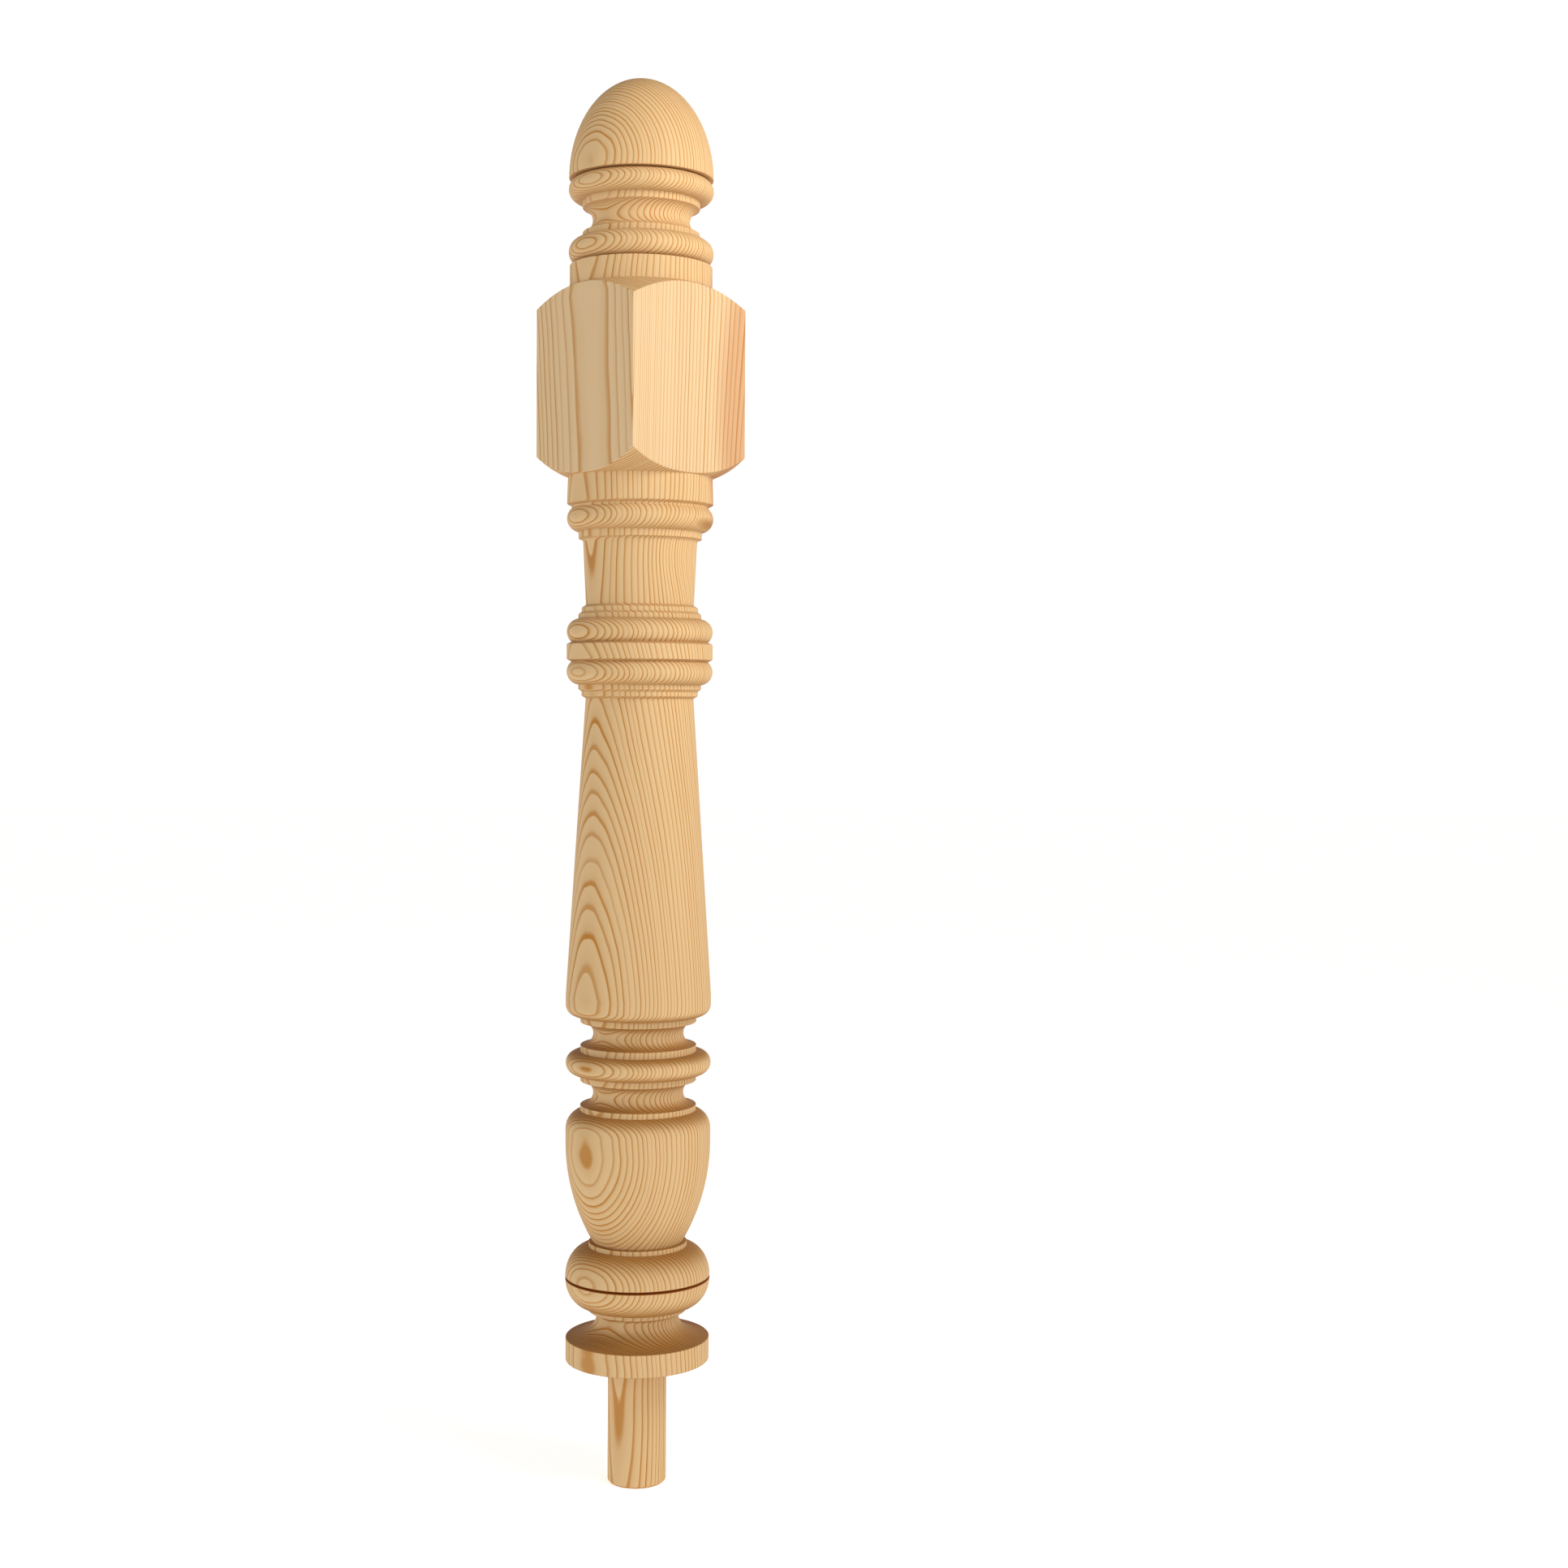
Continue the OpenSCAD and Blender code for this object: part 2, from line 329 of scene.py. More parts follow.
def stack(parts, z):
    """Points of mouldings set on each other from height z, with repeated points left out."""
    points = []
    for h, shape in parts:
        for r, dz in shape:
            if not points or math.dist(points[-1], (r, z + dz)) > SAME_POINT:
                points.append((max(r, 0), z + dz))
        z += h
    return points, z


def eased(points, width):
    """The outline with each outer edge sanded to a narrow flat."""
    result = [points[0]]
    for before, edge, after in zip(points, points[1:], points[2:]):
        back, on = Vector(before) - Vector(edge), Vector(after) - Vector(edge)
        turn = math.degrees(back.angle(-on))
        outer = back.x * on.y - back.y * on.x < 0
        if turn > EASED_TURN and outer:
            cut = min(width, EASED_SHARE * back.length, EASED_SHARE * on.length)
            result += [tuple(Vector(edge) + cut * side.normalized()) for side in (back, on)]
        else:
            result.append(edge)
    return result + [points[-1]]


def outline(s):
    """Rows of the post, from the middle of the spigot's end to the cap's tip.

    A row is (radius, height, reach, inset, rise, bow, lift). On a row with no reach the first two are
    all. On a shoulder they are its collar's, reach is the share of the way from there to the side of the
    square stock, inset how far short of it, rise and bow are the shoulder's height and bow, and lift
    raises the row.
    """
    below, above = mouldings(s)
    spigot_r = s.spigot_d / 2
    spigot = [(0, -s.spigot_l), (spigot_r - s.spigot_bevel, -s.spigot_l),
              (spigot_r, s.spigot_bevel - s.spigot_l), (spigot_r, 0)]
    foot, z_low = stack(below, 0)
    z_high = z_low + 2 * s.shoulder_h + s.block_h
    cap, top = stack(above, z_high)
    rows = [(r, z, 0, 0, 0, 0, 0) for r, z in eased(spigot + foot, s.easing)]
    shoulder = [(i / SHOULDER_STEPS, s.easing, 0) for i in range(1, SHOULDER_STEPS + 1)]
    shoulder.append((1, 0, s.easing))
    low_r, high_r = foot[-1][0], cap[0][0]
    for reach, inset, lift in shoulder:
        rows.append((low_r, z_low, reach, inset, s.shoulder_h, s.shoulder_bows[0], lift))
    for reach, inset, lift in reversed(shoulder):
        rows.append((high_r, z_high, reach, inset, -s.shoulder_h, -s.shoulder_bows[1], -lift))
    rows += [(r, z, 0, 0, 0, 0, 0) for r, z in eased(cap, s.easing)]
    return rows


# Nodes --------------------------------------------------------------------------------------------


def add(tree, kind, inputs=None, **settings):
    """Adds a node with its settings, and links or sets its inputs, each given by name or number."""
    node = tree.nodes.new(kind)
    for name, value in settings.items():
        setattr(node, name, value)
    for key, value in (inputs or {}).items():
        if isinstance(value, bpy.types.NodeSocket):
            tree.links.new(value, node.inputs[key])
        else:
            node.inputs[key].default_value = value
    return node


def work_out(tree, values, steps):
    """Adds each step (name, operation, inputs...) to the values. An input is a number or a name."""
    for name, operation, *inputs in steps:
        given = {i: values[v] if isinstance(v, str) else v for i, v in enumerate(inputs)}
        values[name] = add(tree, "ShaderNodeMath", given, operation=operation).outputs[0]


def ranged(tree, value, low, high, start=0, end=1, **settings):
    """A number that goes from start to end as a value goes from low to high."""
    inputs = {0: value, 1: low, 2: high, 3: start, 4: end}
    return add(tree, "ShaderNodeMapRange", inputs, **settings).outputs[0]


ROW_FIELDS = ("reach", "inset", "rise", "bow", "lift")
SOCKETS = {"Rows": "NodeSocketGeometry", "Block Width": "NodeSocketFloat", "Arris": "NodeSocketFloat",
           "Columns": "NodeSocketInt", "Material": "NodeSocketMaterial"}
# How strongly the columns crowd towards the corners
CROWDING = 1.6
# An edge that turns more than this is shaded sharp
SHARP_ANGLE = math.radians(14)
# Closes the seam and the two ends
MERGE_DISTANCE = 2e-6


def post_tree():
    """Turns the outline's rows round the axis, and squares off what reaches past the sides of the stock."""
    tree = bpy.data.node_groups.new("Turned and squared post", "GeometryNodeTree")
    for name, kind in SOCKETS.items():
        tree.interface.new_socket(name, in_out="INPUT", socket_type=kind)
    tree.interface.new_socket("Post", in_out="OUTPUT", socket_type="NodeSocketGeometry")
    given = add(tree, "NodeGroupInput").outputs

    rows = given["Rows"]
    v = {"columns": given["Columns"], "width": given["Block Width"], "arris": given["Arris"]}
    size = add(tree, "GeometryNodeAttributeDomainSize", {0: rows}, component="MESH").outputs
    v["rows"] = size["Point Count"]
    v["index"] = add(tree, "GeometryNodeInputIndex").outputs[0]
    work_out(tree, v, [
        ("row", "MODULO", "index", "rows"),
        ("column share", "DIVIDE", "index", "rows"),
        ("column", "FLOOR", "column share"),
        ("round", "MULTIPLY", "columns", 8),
        ("round and seam", "ADD", "round", 1),
    ])
    place = add(tree, "GeometryNodeInputPosition").outputs[0]
    at = add(tree, "GeometryNodeSampleIndex", {0: rows, 1: place, 2: v["row"]}, data_type="FLOAT_VECTOR")
    at = add(tree, "ShaderNodeSeparateXYZ", {0: at.outputs[0]}).outputs
    v["r"], v["z"] = at["X"], at["Z"]
    for field in ROW_FIELDS:
        stored = add(tree, "GeometryNodeInputNamedAttribute", {"Name": field}, data_type="FLOAT").outputs[0]
        sample = add(tree, "GeometryNodeSampleIndex", {0: rows, 1: stored, 2: v["row"]}, data_type="FLOAT")
        v[field] = sample.outputs[0]

    eighth = math.pi / 4
    work_out(tree, v, [
        # The columns crowd towards the corners, where the stock's edge is a tight round
        ("eighths", "DIVIDE", "column", "columns"),
        ("quarters", "MULTIPLY", "eighths", 0.5),
        ("nearest quarter", "ROUND", "quarters"),
        ("face", "MULTIPLY", "nearest quarter", 2),
        ("off face", "SUBTRACT", "eighths", "face"),
        ("off face size", "ABSOLUTE", "off face"),
        ("off corner", "SUBTRACT", 1, "off face size"),
        ("crowded", "POWER", "off corner", CROWDING),
        ("spread", "SUBTRACT", 1, "crowded"),
        ("side", "SIGN", "off face"),
        ("signed spread", "MULTIPLY", "spread", "side"),
        ("turned eighths", "ADD", "face", "signed spread"),
        ("angle", "MULTIPLY", "turned eighths", eighth),
        ("lean", "MULTIPLY", "spread", eighth),
        # Distance out to the side of the stock, and to its rounded arris
        ("half", "MULTIPLY", "width", 0.5),
        ("cos lean", "COSINE", "lean"),
        ("sin lean", "SINE", "lean"),
        ("flat", "DIVIDE", "half", "cos lean"),
        ("centre", "SUBTRACT", "half", "arris"),
        ("both", "ADD", "cos lean", "sin lean"),
        ("along", "MULTIPLY", "centre", "both"),
        ("along squared", "MULTIPLY", "along", "along"),
        ("centre squared", "MULTIPLY", "centre", "centre"),
        ("arris squared", "MULTIPLY", "arris", "arris"),
        ("corner squared", "MULTIPLY", "centre squared", 2),
        ("corner less arris", "SUBTRACT", "corner squared", "arris squared"),
        ("within", "SUBTRACT", "along squared", "corner less arris"),
        ("within or none", "MAXIMUM", "within", 0),
        ("out from there", "SQRT", "within or none"),
        ("rounded", "ADD", "along", "out from there"),
        ("across", "MULTIPLY", "flat", "sin lean"),
        ("is rounded", "GREATER_THAN", "across", "centre"),
        ("rounding", "SUBTRACT", "rounded", "flat"),
        ("rounding there", "MULTIPLY", "rounding", "is rounded"),
        ("stock", "ADD", "flat", "rounding there"),
        # Radius of the row, and its height on the shoulder
        ("stock less inset", "SUBTRACT", "stock", "inset"),
        ("gap", "SUBTRACT", "stock less inset", "r"),
        ("out", "MULTIPLY", "gap", "reach"),
        ("radius", "ADD", "r", "out"),
        ("corner", "MULTIPLY", "half", math.sqrt(2)),
        ("past corner", "ADD", "corner", CORNER_OVERRUN),
        ("run", "SUBTRACT", "past corner", "r"),
        ("share", "DIVIDE", "out", "run"),
        ("climb", "MULTIPLY", "rise", "share"),
        ("share left", "SUBTRACT", 1, "share"),
        ("bowing", "MULTIPLY", "share", "share left"),
        ("bowed", "MULTIPLY", "bowing", "bow"),
        ("bowed in full", "MULTIPLY", "bowed", 4),
        ("climbed", "ADD", "z", "climb"),
        ("climbed and bowed", "SUBTRACT", "climbed", "bowed in full"),
        ("height", "ADD", "climbed and bowed", "lift"),
        ("cos", "COSINE", "angle"),
        ("sin", "SINE", "angle"),
        ("x", "MULTIPLY", "radius", "cos"),
        ("y", "MULTIPLY", "radius", "sin"),
    ])
    grid = add(tree, "GeometryNodeMeshGrid", {"Vertices X": v["round and seam"], "Vertices Y": v["rows"]})
    there = add(tree, "ShaderNodeCombineXYZ", {0: v["x"], 1: v["y"], 2: v["height"]})
    made = add(tree, "GeometryNodeSetPosition",
               {"Geometry": grid.outputs[0], "Position": there.outputs[0]})
    made = add(tree, "GeometryNodeMergeByDistance",
               {"Geometry": made.outputs[0], "Distance": MERGE_DISTANCE})
    made = add(tree, "GeometryNodeSetShadeSmooth", {"Geometry": made.outputs[0], "Shade Smooth": True},
               domain="FACE")
    turn = add(tree, "GeometryNodeInputMeshEdgeAngle").outputs["Unsigned Angle"]
    sharp = add(tree, "FunctionNodeCompare", {"A": turn, "B": SHARP_ANGLE}, operation="GREATER_THAN")
    made = add(tree, "GeometryNodeSetShadeSmooth",
               {"Geometry": made.outputs[0], "Selection": sharp.outputs[0], "Shade Smooth": False},
               domain="EDGE")
    made = add(tree, "GeometryNodeRealizeInstances", {0: made.outputs[0]})
    made = add(tree, "GeometryNodeSetMaterial",
               {"Geometry": made.outputs[0], "Material": given["Material"]})
    add(tree, "NodeGroupOutput", {0: made.outputs[0]})
    return tree


def plain_mesh(obj, tree, inputs):
    """Runs a node tree on an object and leaves its result as a plain mesh, with no modifier."""
    modifier = obj.modifiers.new(tree.name, "NODES")
    modifier.node_group = tree
    for item in tree.interface.items_tree:
        if item.in_out == "INPUT" and item.name in inputs:
            modifier[item.identifier] = inputs[item.name]
    evaluated = obj.evaluated_get(bpy.context.evaluated_depsgraph_get())
    mesh = bpy.data.meshes.new_from_object(evaluated)
    obj.modifiers.clear()
    obj.data = mesh
    return obj


# Wood ---------------------------------------------------------------------------------------------

# Bare sanded pine, unvarnished: matte, with pale spring wood between thin orange-brown summer lines. The
# rings are near-cylinders about a pith that ran behind the post, so they show as arches, ovals and fine
# upright lines.

# Where the pith ran beside the post's axis: (height, how far off) along X, and the same along Y
PITH_X = ((-0.102, -0.020), (-0.06, -0.018), (-0.015, -0.013), (0.01, -0.009), (0.14, -0.005),
          (0.30, -0.004), (0.42, -0.003), (0.50, 0.003), (0.60, 0.016), (0.68, 0.017), (0.80, 0.010),
          (0.90, 0.002), (0.97, -0.007), (1.04, -0.007))
PITH_Y = ((-0.102, 0.0850), (-0.06, 0.0873), (-0.015, 0.0891), (0.004, 0.0907), (0.018, 0.0907),
          (0.06, 0.0945), (0.12, 0.097), (0.17, 0.0968), (0.20, 0.0963), (0.245, 0.1008), (0.30, 0.104),
          (0.40, 0.1025), (0.50, 0.0975), (0.56, 0.095), (0.60, 0.0905), (0.64, 0.089), (0.75, 0.0888),
          (0.83, 0.0887), (0.87, 0.0884), (0.90, 0.0889), (0.96, 0.0908), (1.04, 0.0908))
# The heartwood's radius up the post, and how far in from there its tint sets in
HEART_R = ((-0.102, 0.055), (0.62, 0.058), (0.70, 0.070), (0.75, 0.079), (0.86, 0.076), (0.92, 0.060),
           (1.04, 0.055))
HEART_EDGE = (-0.001, 0.012)
# The largest distance that these curves can hold
PITH_REACH = 0.13

# The one knot: its height, the way it grew out from the pith, its radius and its dark core's share of it,
# and where and how far and wide the rings swell out round it
KNOT_Z = 0.680
KNOT_WAY = (0.516, -0.857)
KNOT_R = 0.0075
KNOT_CORE = 0.3
SWELL_Z = 0.655
SWELL_PUSH = 0.019
SWELL_SPREAD = 0.028

# Higher in the tree the rings are tighter: (height, tightness) where that starts and ends
TIGHT_FROM = (0.86, 1)
TIGHT_TO = (0.97, 1.25)
# Years: how unevenly the rings are spaced, and the season at which they start
UNEVEN_SCALE = 0.7
UNEVEN_SHARE = 0.3
FIRST_SEASON = 0.75
# Darkness through one year: pale in spring, dark at summer's end, then pale at once
SEASONS = ((0, 0), (0.35, 0.05), (0.68, 0.22), (0.84, 1), (0.96, 1), (1, 0))
# A year's summer line is at least this dark, by chance up to so much darker, and darker in a wide ring
LINE_LEAST = 0.42
LINE_CHANCE = 0.54
LINE_WIDE = 0.15

# Noises per metre across and along the post: ripples of 25 mm, fibre and mottled patches of 17 mm, and how
# much the last two darken the wood. Real fibres, about 0.03 mm wide, are too fine to show, so they are
# drawn as streaks 0.7 mm wide
RIPPLE_GRAIN = (40, 40, 9)
FIBRE_GRAIN = (1400, 1400, 60)
FIBRE_DETAIL = 3
FIBRE_SHARE = 0.10
MOTTLE_GRAIN = (60, 60, 8)
MOTTLE_SHARE = 0.12

# End grain is darker and browner than wood turned along the grain, from the first to the second slope of
# the surface, with denser lines. The same tint also paints shade onto surfaces that face up or down: into
# the hollows and quirks, under the beads, and on the disc's top under the swell above it
END_GRAIN_AND_SHADE = (0.62, 0.47, 0.25)
END_AND_SHADE_SLOPES = (0.3, 1.05)
END_AND_SHADE_DENSE = 0.9
# The tint is stronger low on the post than on the block and the cap: painted shade that is darker towards
# the bottom and stays pale at the top, where more light falls from above. (height, strength) where that
# starts and ends
HEIGHT_SHADE_FROM = (0.25, 1.1)
HEIGHT_SHADE_TO = (0.75, 0.5)

# A planed face is paler and its lines are fainter. It lies within this depth of the stock's side
PLANED = (1.01, 1.06, 1.18)
PLANED_DEPTH = 0.0003
PLANED_FAINT = 0.12
# How far past the groove's edges the dark brown band reaches
GROOVE_BAND_SPREAD = 0.0005

ROUGHNESS = 0.7
SPECULAR = 0.2
BUMP_STRENGTH = 0.12
BUMP_DISTANCE = 0.0003


def follow(tree, height, points):
    """A distance that runs smoothly through points of (height, distance)."""
    low, high = points[0][0], points[-1][0]
    curve = add(tree, "ShaderNodeFloatCurve", {"Value": ranged(tree, height, low, high)})
    line = curve.mapping.curves[0].points
    spots = [((z - low) / (high - low), (d + PITH_REACH) / (2 * PITH_REACH)) for z, d in points]
    line[0].location, line[1].location = spots[0], spots[-1]
    for spot in spots[1:-1]:
        line.new(*spot)
    curve.mapping.update()
    return add(tree, "ShaderNodeMath", {0: curve.outputs[0], 1: 2 * PITH_REACH, 2: -PITH_REACH},
               operation="MULTIPLY_ADD").outputs[0]


def profile(tree, value, stops):
    """A grey level that runs straight through stops of (position, level)."""
    node = add(tree, "ShaderNodeValToRGB", {0: value})
    ends = node.color_ramp.elements
    ends[0].position, ends[1].position = stops[0][0], stops[-1][0]
    ends[0].color, ends[1].color = ((level, level, level, 1) for level in (stops[0][1], stops[-1][1]))
    for position, level in stops[1:-1]:
        ends.new(position).color = (level, level, level, 1)
    return node.outputs[0]


def noise(tree, place, scale, detail=2):
    """Noise between about -0.5 and 0.5, stretched along the post by its scale per metre."""
    stretched = add(tree, "ShaderNodeMapping", {0: place, "Scale": scale}).outputs[0]
    value = add(tree, "ShaderNodeTexNoise", {"Vector": stretched, "Scale": 1, "Detail": detail})
    return add(tree, "ShaderNodeMath", {0: value.outputs[0], 1: 0.5}, operation="SUBTRACT").outputs[0]


def tinted(tree, wood, share, tint):
    """The wood multiplied by a tint, as far as its share goes."""
    node = add(tree, "ShaderNodeMix", {"Factor": share, "A": wood, "B": (*tint, 1)}, data_type="RGBA",
               blend_type="MULTIPLY")
    return node.outputs["Result"]


def blended(tree, wood, share, other):
    """The wood turned into another colour, as far as its share goes."""
    node = add(tree, "ShaderNodeMix", {"Factor": share, "A": wood, "B": (*other, 1)}, data_type="RGBA")
    return node.outputs["Result"]


def pine(p, s):
    """The wood of the whole post, worked out through its solid."""
    material = bpy.data.materials.new("sanded_pine")
    material.use_nodes = True
    tree = material.node_tree
    tree.nodes.clear()
    coordinates = add(tree, "ShaderNodeTexCoord").outputs
    place = coordinates["Object"]
    at = add(tree, "ShaderNodeSeparateXYZ", {0: place}).outputs
    facing = add(tree, "ShaderNodeSeparateXYZ", {0: coordinates["Normal"]}).outputs
    v = {
        "x": at["X"],
        "y": at["Y"],
        "z": at["Z"],
        "facing z": facing["Z"],
        "ripple": noise(tree, place, RIPPLE_GRAIN),
        "pith x": follow(tree, at["Z"], PITH_X),
        "pith y": follow(tree, at["Z"], PITH_Y),
        "heart r": follow(tree, at["Z"], HEART_R),
        "tightness": ranged(tree, at["Z"], TIGHT_FROM[0], TIGHT_TO[0], TIGHT_FROM[1], TIGHT_TO[1]),
        # Painted shade: strongest low on the post, paler at the top where more light falls from above
        "height_shade": ranged(tree, at["Z"], HEIGHT_SHADE_FROM[0], HEIGHT_SHADE_TO[0], HEIGHT_SHADE_FROM[1], HEIGHT_SHADE_TO[1]),
    }
    groove_z = s.disc_h + s.sweep_h + s.return_h + s.foot_fillet_h + s.swell_hs[0] + s.groove_w / 2
    work_out(tree, v, [
        ("dx", "SUBTRACT", "x", "pith x"),
        ("dy", "SUBTRACT", "y", "pith y"),
        ("dx2", "MULTIPLY", "dx", "dx"),
        ("d2", "MULTIPLY_ADD", "dy", "dy", "dx2"),
        ("d", "SQRT", "d2"),
        # The knot, and the rings that swell out round it
        ("knot side", "MULTIPLY", "dy", KNOT_WAY[0]),
        ("knot side", "MULTIPLY_ADD", "dx", -KNOT_WAY[1], "knot side"),
        ("knot up", "SUBTRACT", "z", KNOT_Z),
        ("knot side2", "MULTIPLY", "knot side", "knot side"),
        ("knot off2", "MULTIPLY_ADD", "knot up", "knot up", "knot side2"),
        ("knot off", "SQRT", "knot off2"),
        ("swell up", "SUBTRACT", "z", SWELL_Z),
        ("swell off2", "MULTIPLY_ADD", "swell up", "swell up", "knot side2"),
        ("swell fall", "MULTIPLY", "swell off2", -1 / SWELL_SPREAD ** 2),
        ("swell", "EXPONENT", "swell fall"),
        ("rings", "MULTIPLY_ADD", "swell", -SWELL_PUSH, "d"),
        ("rings", "MULTIPLY_ADD", "ripple", p.ripple, "rings"),
        # The tree grew fast up to slow_r, and more slowly after that
        ("past", "SUBTRACT", "rings", p.slow_r),
        ("past", "MULTIPLY", "past", "tightness"),
        ("slow", "MAXIMUM", "past", 0),
        ("fast", "MINIMUM", "past", 0),
        ("slow years", "DIVIDE", "slow", p.ring_slow),
        ("years", "MULTIPLY_ADD", "fast", 1 / p.ring_fast, "slow years"),
    ])
    uneven = add(tree, "ShaderNodeTexNoise", {"W": v["years"], "Scale": UNEVEN_SCALE, "Detail": 1},
                 noise_dimensions="1D")
    v["uneven"] = uneven.outputs[0]
    work_out(tree, v, [
        ("shifted", "MULTIPLY_ADD", "uneven", UNEVEN_SHARE, FIRST_SEASON),
        ("age", "ADD", "years", "shifted"),
        ("season", "FRACT", "age"),
        ("count", "FLOOR", "age"),
    ])
    chance = add(tree, "ShaderNodeTexWhiteNoise", {"W": v["count"]}, noise_dimensions="1D")
    v["chance"] = chance.outputs[0]
    v["late"] = profile(tree, v["season"], SEASONS)
    v["fibre"] = noise(tree, place, FIBRE_GRAIN, FIBRE_DETAIL)
    v["mottle"] = noise(tree, place, MOTTLE_GRAIN)
    work_out(tree, v, [
        ("wide", "LESS_THAN", "past", 0),
        ("strength", "MULTIPLY_ADD", "chance", LINE_CHANCE, LINE_LEAST),
        ("strength", "MULTIPLY_ADD", "wide", LINE_WIDE, "strength"),
        ("late", "MULTIPLY", "late", "strength"),
        ("late", "MULTIPLY_ADD", "fibre", FIBRE_SHARE, "late"),
        ("late", "MULTIPLY_ADD", "mottle", MOTTLE_SHARE, "late"),
        ("heart", "SUBTRACT", "heart r", "d"),
        # End grain darkening and painted shade, on surfaces that face up or down
        ("end", "ABSOLUTE", "facing z"),
        ("dense", "MULTIPLY_ADD", "end", END_AND_SHADE_DENSE, 1),
        ("late", "MULTIPLY", "late", "dense"),
        # The painted shade fades up the post
        ("end", "MULTIPLY", "end", "height_shade"),
        ("x size", "ABSOLUTE", "x"),
        ("y size", "ABSOLUTE", "y"),
        ("out", "MAXIMUM", "x size", "y size"),
        ("planed", "GREATER_THAN", "out", s.block_w / 2 - PLANED_DEPTH),
        ("clear", "MULTIPLY_ADD", "planed", -PLANED_FAINT, 1),
        ("late", "MULTIPLY", "late", "clear"),
        # A dark brown band painted along the groove and a little past its edges
        ("from groove", "SUBTRACT", "z", groove_z),
        ("from groove", "ABSOLUTE", "from groove"),
        ("groove_band", "LESS_THAN", "from groove", s.groove_w / 2 + GROOVE_BAND_SPREAD),
    ])
    wood = blended(tree, (*p.early, 1), v["late"], p.late)
    wood = tinted(tree, wood, ranged(tree, v["heart"], *HEART_EDGE), p.heart)
    # Darkens end grain and paints shade on surfaces that face up or down
    end = ranged(tree, v["end"], *END_AND_SHADE_SLOPES, interpolation_type="SMOOTHSTEP")
    wood = tinted(tree, wood, end, END_GRAIN_AND_SHADE)
    wood = tinted(tree, wood, v["planed"], PLANED)
    wood = blended(tree, wood, ranged(tree, v["knot off"], KNOT_R, KNOT_CORE * KNOT_R), p.knot)
    wood = blended(tree, wood, v["groove_band"], p.groove_band)
    bump = add(tree, "ShaderNodeBump",
               {"Height": v["fibre"], "Strength": BUMP_STRENGTH, "Distance": BUMP_DISTANCE})
    shader = add(tree, "ShaderNodeBsdfPrincipled", {
        "Base Color": wood, "Roughness": ROUGHNESS, "Normal": bump.outputs[0],
        "Specular IOR Level": SPECULAR})
    add(tree, "ShaderNodeOutputMaterial", {0: shader.outputs[0]})
    return material


# Operators ----------------------------------------------------------------------------------------


class NEWEL_OT_post(bpy.types.Operator):
    """Turns the post out of its stock and gives it its wood"""

    bl_idname = "newel.post"
    bl_label = "Turned Post"

    def execute(self, context):
        sizes, wood = context.scene.newel_sizes, context.scene.newel_pine
        rows = outline(sizes)
        mesh = bpy.data.meshes.new("outline")
        edges = [(i, i + 1) for i in range(len(rows) - 1)]
        mesh.from_pydata([(row[0], 0, row[1]) for row in rows], edges, [])
        for k, field in enumerate(ROW_FIELDS):
            stored = mesh.attributes.new(field, "FLOAT", "POINT")
            stored.data.foreach_set("value", [row[2 + k] for row in rows])
        post = bpy.data.objects.new("turned_post", mesh)
        context.scene.collection.objects.link(post)
        plain_mesh(post, post_tree(), {"Block Width": sizes.block_w, "Arris": sizes.arris,
                                       "Columns": sizes.columns, "Material": pine(wood, sizes)})
        post.data.name = "turned_post"
        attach(post, "root")
        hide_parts("newel_post")
        return {"FINISHED"}


class NewelStudio(bpy.types.PropertyGroup):
    """Where the camera stands and how the plain studio is lit."""

    distance: length("Distance", "Level distance from the camera to the post's axis", 1.8147)
    height: length("Height", "Height of the camera above the shoulder", 0.54275)
    azimuth: FloatProperty(name="Azimuth", description="Direction of the camera, from -Y round towards +X",
                           default=math.radians(49.1), subtype="ANGLE")
    aim: FloatProperty(name="Aim", description="How far the camera looks to the right of the post",
                       default=math.radians(3.725), subtype="ANGLE")
    pitch: FloatProperty(name="Pitch", description="How far the camera looks down",
                         default=math.radians(2.215), subtype="ANGLE")
    roll: FloatProperty(name="Roll", description="Turn of the camera about its line of sight",
                        default=math.radians(0.36), subtype="ANGLE")
    lens: FloatProperty(name="Lens", description="Focal length in millimetres on a 36 mm sensor",
                        default=51.06)
    floor: colour("Floor", "The pale floor and backdrop", "F4F3F1")


# How brightly the studio's surfaces glow, and the slopes between which its walls turn into its ceiling
WALL_GLOW = 1.05
CEILING_GLOW = 0.15
FLOOR_GLOW = 0.6
CEILING_SLOPES = (0.36, 0.75)
FLOOR_ROUGHNESS = 0.9
FLOOR_SPECULAR = 0.1
FLOOR_R = 12
FLOOR_CORNERS = 96

# The lamp: (azimuth in degrees, distance, height), the height it aims at, its width and its power
LAMP_PLACE = (100, 0.95, 1.2)
LAMP_AIM_Z = 0.75
LAMP_W = 0.7
LAMP_POWER = 7.6
SENSOR_W = 36


def aimed(name, kind, place, target, **settings):
    """A lamp at a place, aimed at a target."""
    lamp = bpy.data.lights.new(name, kind)
    for key, value in settings.items():
        setattr(lamp, key, value)
    obj = bpy.data.objects.new(name, lamp)
    turn = (Vector(target) - place).to_track_quat("-Z", "Y").to_matrix()
    obj.matrix_world = Matrix.Translation(place) @ turn.to_4x4()
    bpy.context.scene.collection.objects.link(obj)


def around(azimuth, distance, height):
    """A place at an azimuth from -Y round towards +X, in degrees."""
    a = math.radians(azimuth)
    return Vector((distance * math.sin(a), -distance * math.cos(a), height))


def light_table(name, tint):
    """Matte white sheet, faintly lit from beneath."""
    material = bpy.data.materials.new(name)
    material.use_nodes = True
    shader = material.node_tree.nodes["Principled BSDF"]
    shader.inputs["Base Color"].default_value = (*tint, 1)
    shader.inputs["Emission Color"].default_value = (1, 1, 1, 1)
    shader.inputs["Emission Strength"].default_value = FLOOR_GLOW
    shader.inputs["Roughness"].default_value = FLOOR_ROUGHNESS
    shader.inputs["Specular IOR Level"].default_value = FLOOR_SPECULAR
    return material


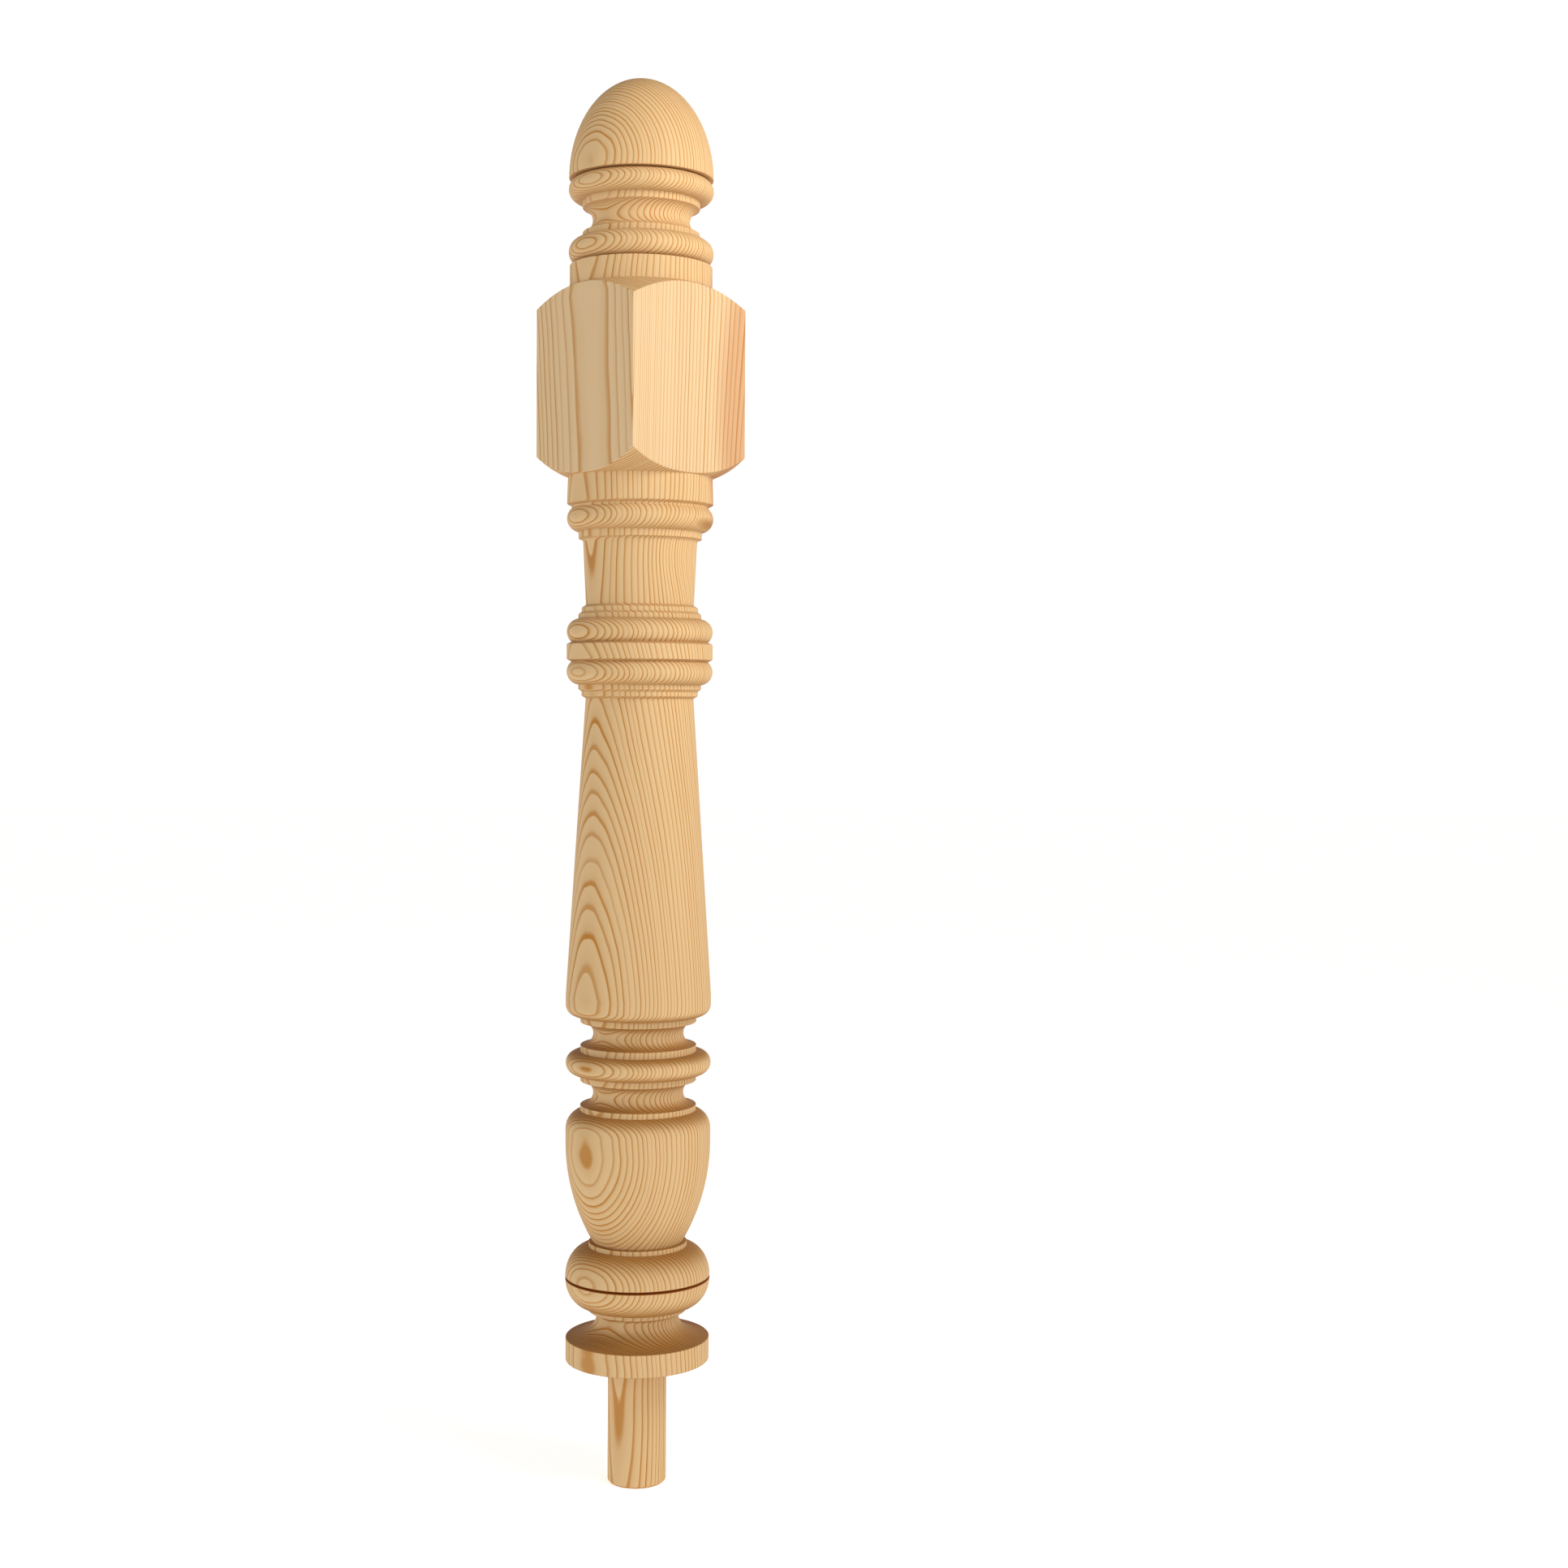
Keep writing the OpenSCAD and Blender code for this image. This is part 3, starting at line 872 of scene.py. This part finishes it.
def white_cove():
    """Even white walls all round, under a dimmer ceiling."""
    world = bpy.data.worlds.new("white_cove")
    world.use_nodes = True
    tree = world.node_tree
    way = add(tree, "ShaderNodeTexCoord").outputs["Generated"]
    up = add(tree, "ShaderNodeSeparateXYZ", {0: way}).outputs["Z"]
    glow = ranged(tree, up, *CEILING_SLOPES, WALL_GLOW, CEILING_GLOW, interpolation_type="SMOOTHSTEP")
    background = tree.nodes["Background"].inputs
    tree.links.new(glow, background["Strength"])
    background["Color"].default_value = (1, 1, 1, 1)
    return world


class NEWEL_OT_studio(bpy.types.Operator):
    """Sets up the floor, the soft lights and the camera"""

    bl_idname = "newel.studio"
    bl_label = "Plain Studio"

    def execute(self, context):
        s = context.scene.newel_studio
        rim = [around(360 * i / FLOOR_CORNERS, FLOOR_R, CAD_LOW.z) for i in range(FLOOR_CORNERS)]
        mesh = bpy.data.meshes.new("floor")
        mesh.from_pydata(rim, [], [list(range(FLOOR_CORNERS))])
        mesh.materials.append(light_table("white_acrylic", s.floor))
        floor = bpy.data.objects.new("floor", mesh)
        context.scene.collection.objects.link(floor)
        aimed("key", "AREA", around(*LAMP_PLACE), (0, 0, LAMP_AIM_Z),
              shape="DISK", size=LAMP_W, energy=LAMP_POWER)
        context.scene.world = white_cove()
        camera = bpy.data.cameras.new("camera")
        camera.lens = s.lens
        camera.sensor_width = SENSOR_W
        obj = bpy.data.objects.new("camera", camera)
        place = around(math.degrees(s.azimuth), s.distance, s.height)
        obj.matrix_world = (Matrix.Translation(place)
                            @ Matrix.Rotation(s.azimuth - s.aim, 4, "Z")
                            @ Matrix.Rotation(math.pi / 2 - s.pitch, 4, "X")
                            @ Matrix.Rotation(s.roll, 4, "Z"))
        context.scene.collection.objects.link(obj)
        context.scene.camera = obj
        context.scene.view_settings.view_transform = "Standard"
        return {"FINISHED"}


class NEWEL_PT_panel(bpy.types.Panel):
    """Lists the steps that build the post"""

    bl_idname = "NEWEL_PT_panel"
    bl_label = "Newel Post"
    bl_space_type = "VIEW_3D"
    bl_region_type = "UI"
    bl_category = "Newel Post"

    def draw(self, context):
        for operator in OPERATORS:
            self.layout.operator(operator.bl_idname)


OPERATORS = (NEWEL_OT_post, NEWEL_OT_studio)
GROUPS = {"newel_sizes": NewelSizes, "newel_pine": NewelPine, "newel_studio": NewelStudio}
CLASSES = (*GROUPS.values(), *OPERATORS, NEWEL_PT_panel)


def register():
    for cls in CLASSES:
        bpy.utils.register_class(cls)
    for name, group in GROUPS.items():
        setattr(bpy.types.Scene, name, PointerProperty(type=group))


def unregister():
    for name in GROUPS:
        delattr(bpy.types.Scene, name)
    for cls in reversed(CLASSES):
        bpy.utils.unregister_class(cls)


def main():
    register()
    bpy.ops.newel.post()
    bpy.ops.newel.studio()


if __name__ == "__main__":
    main()
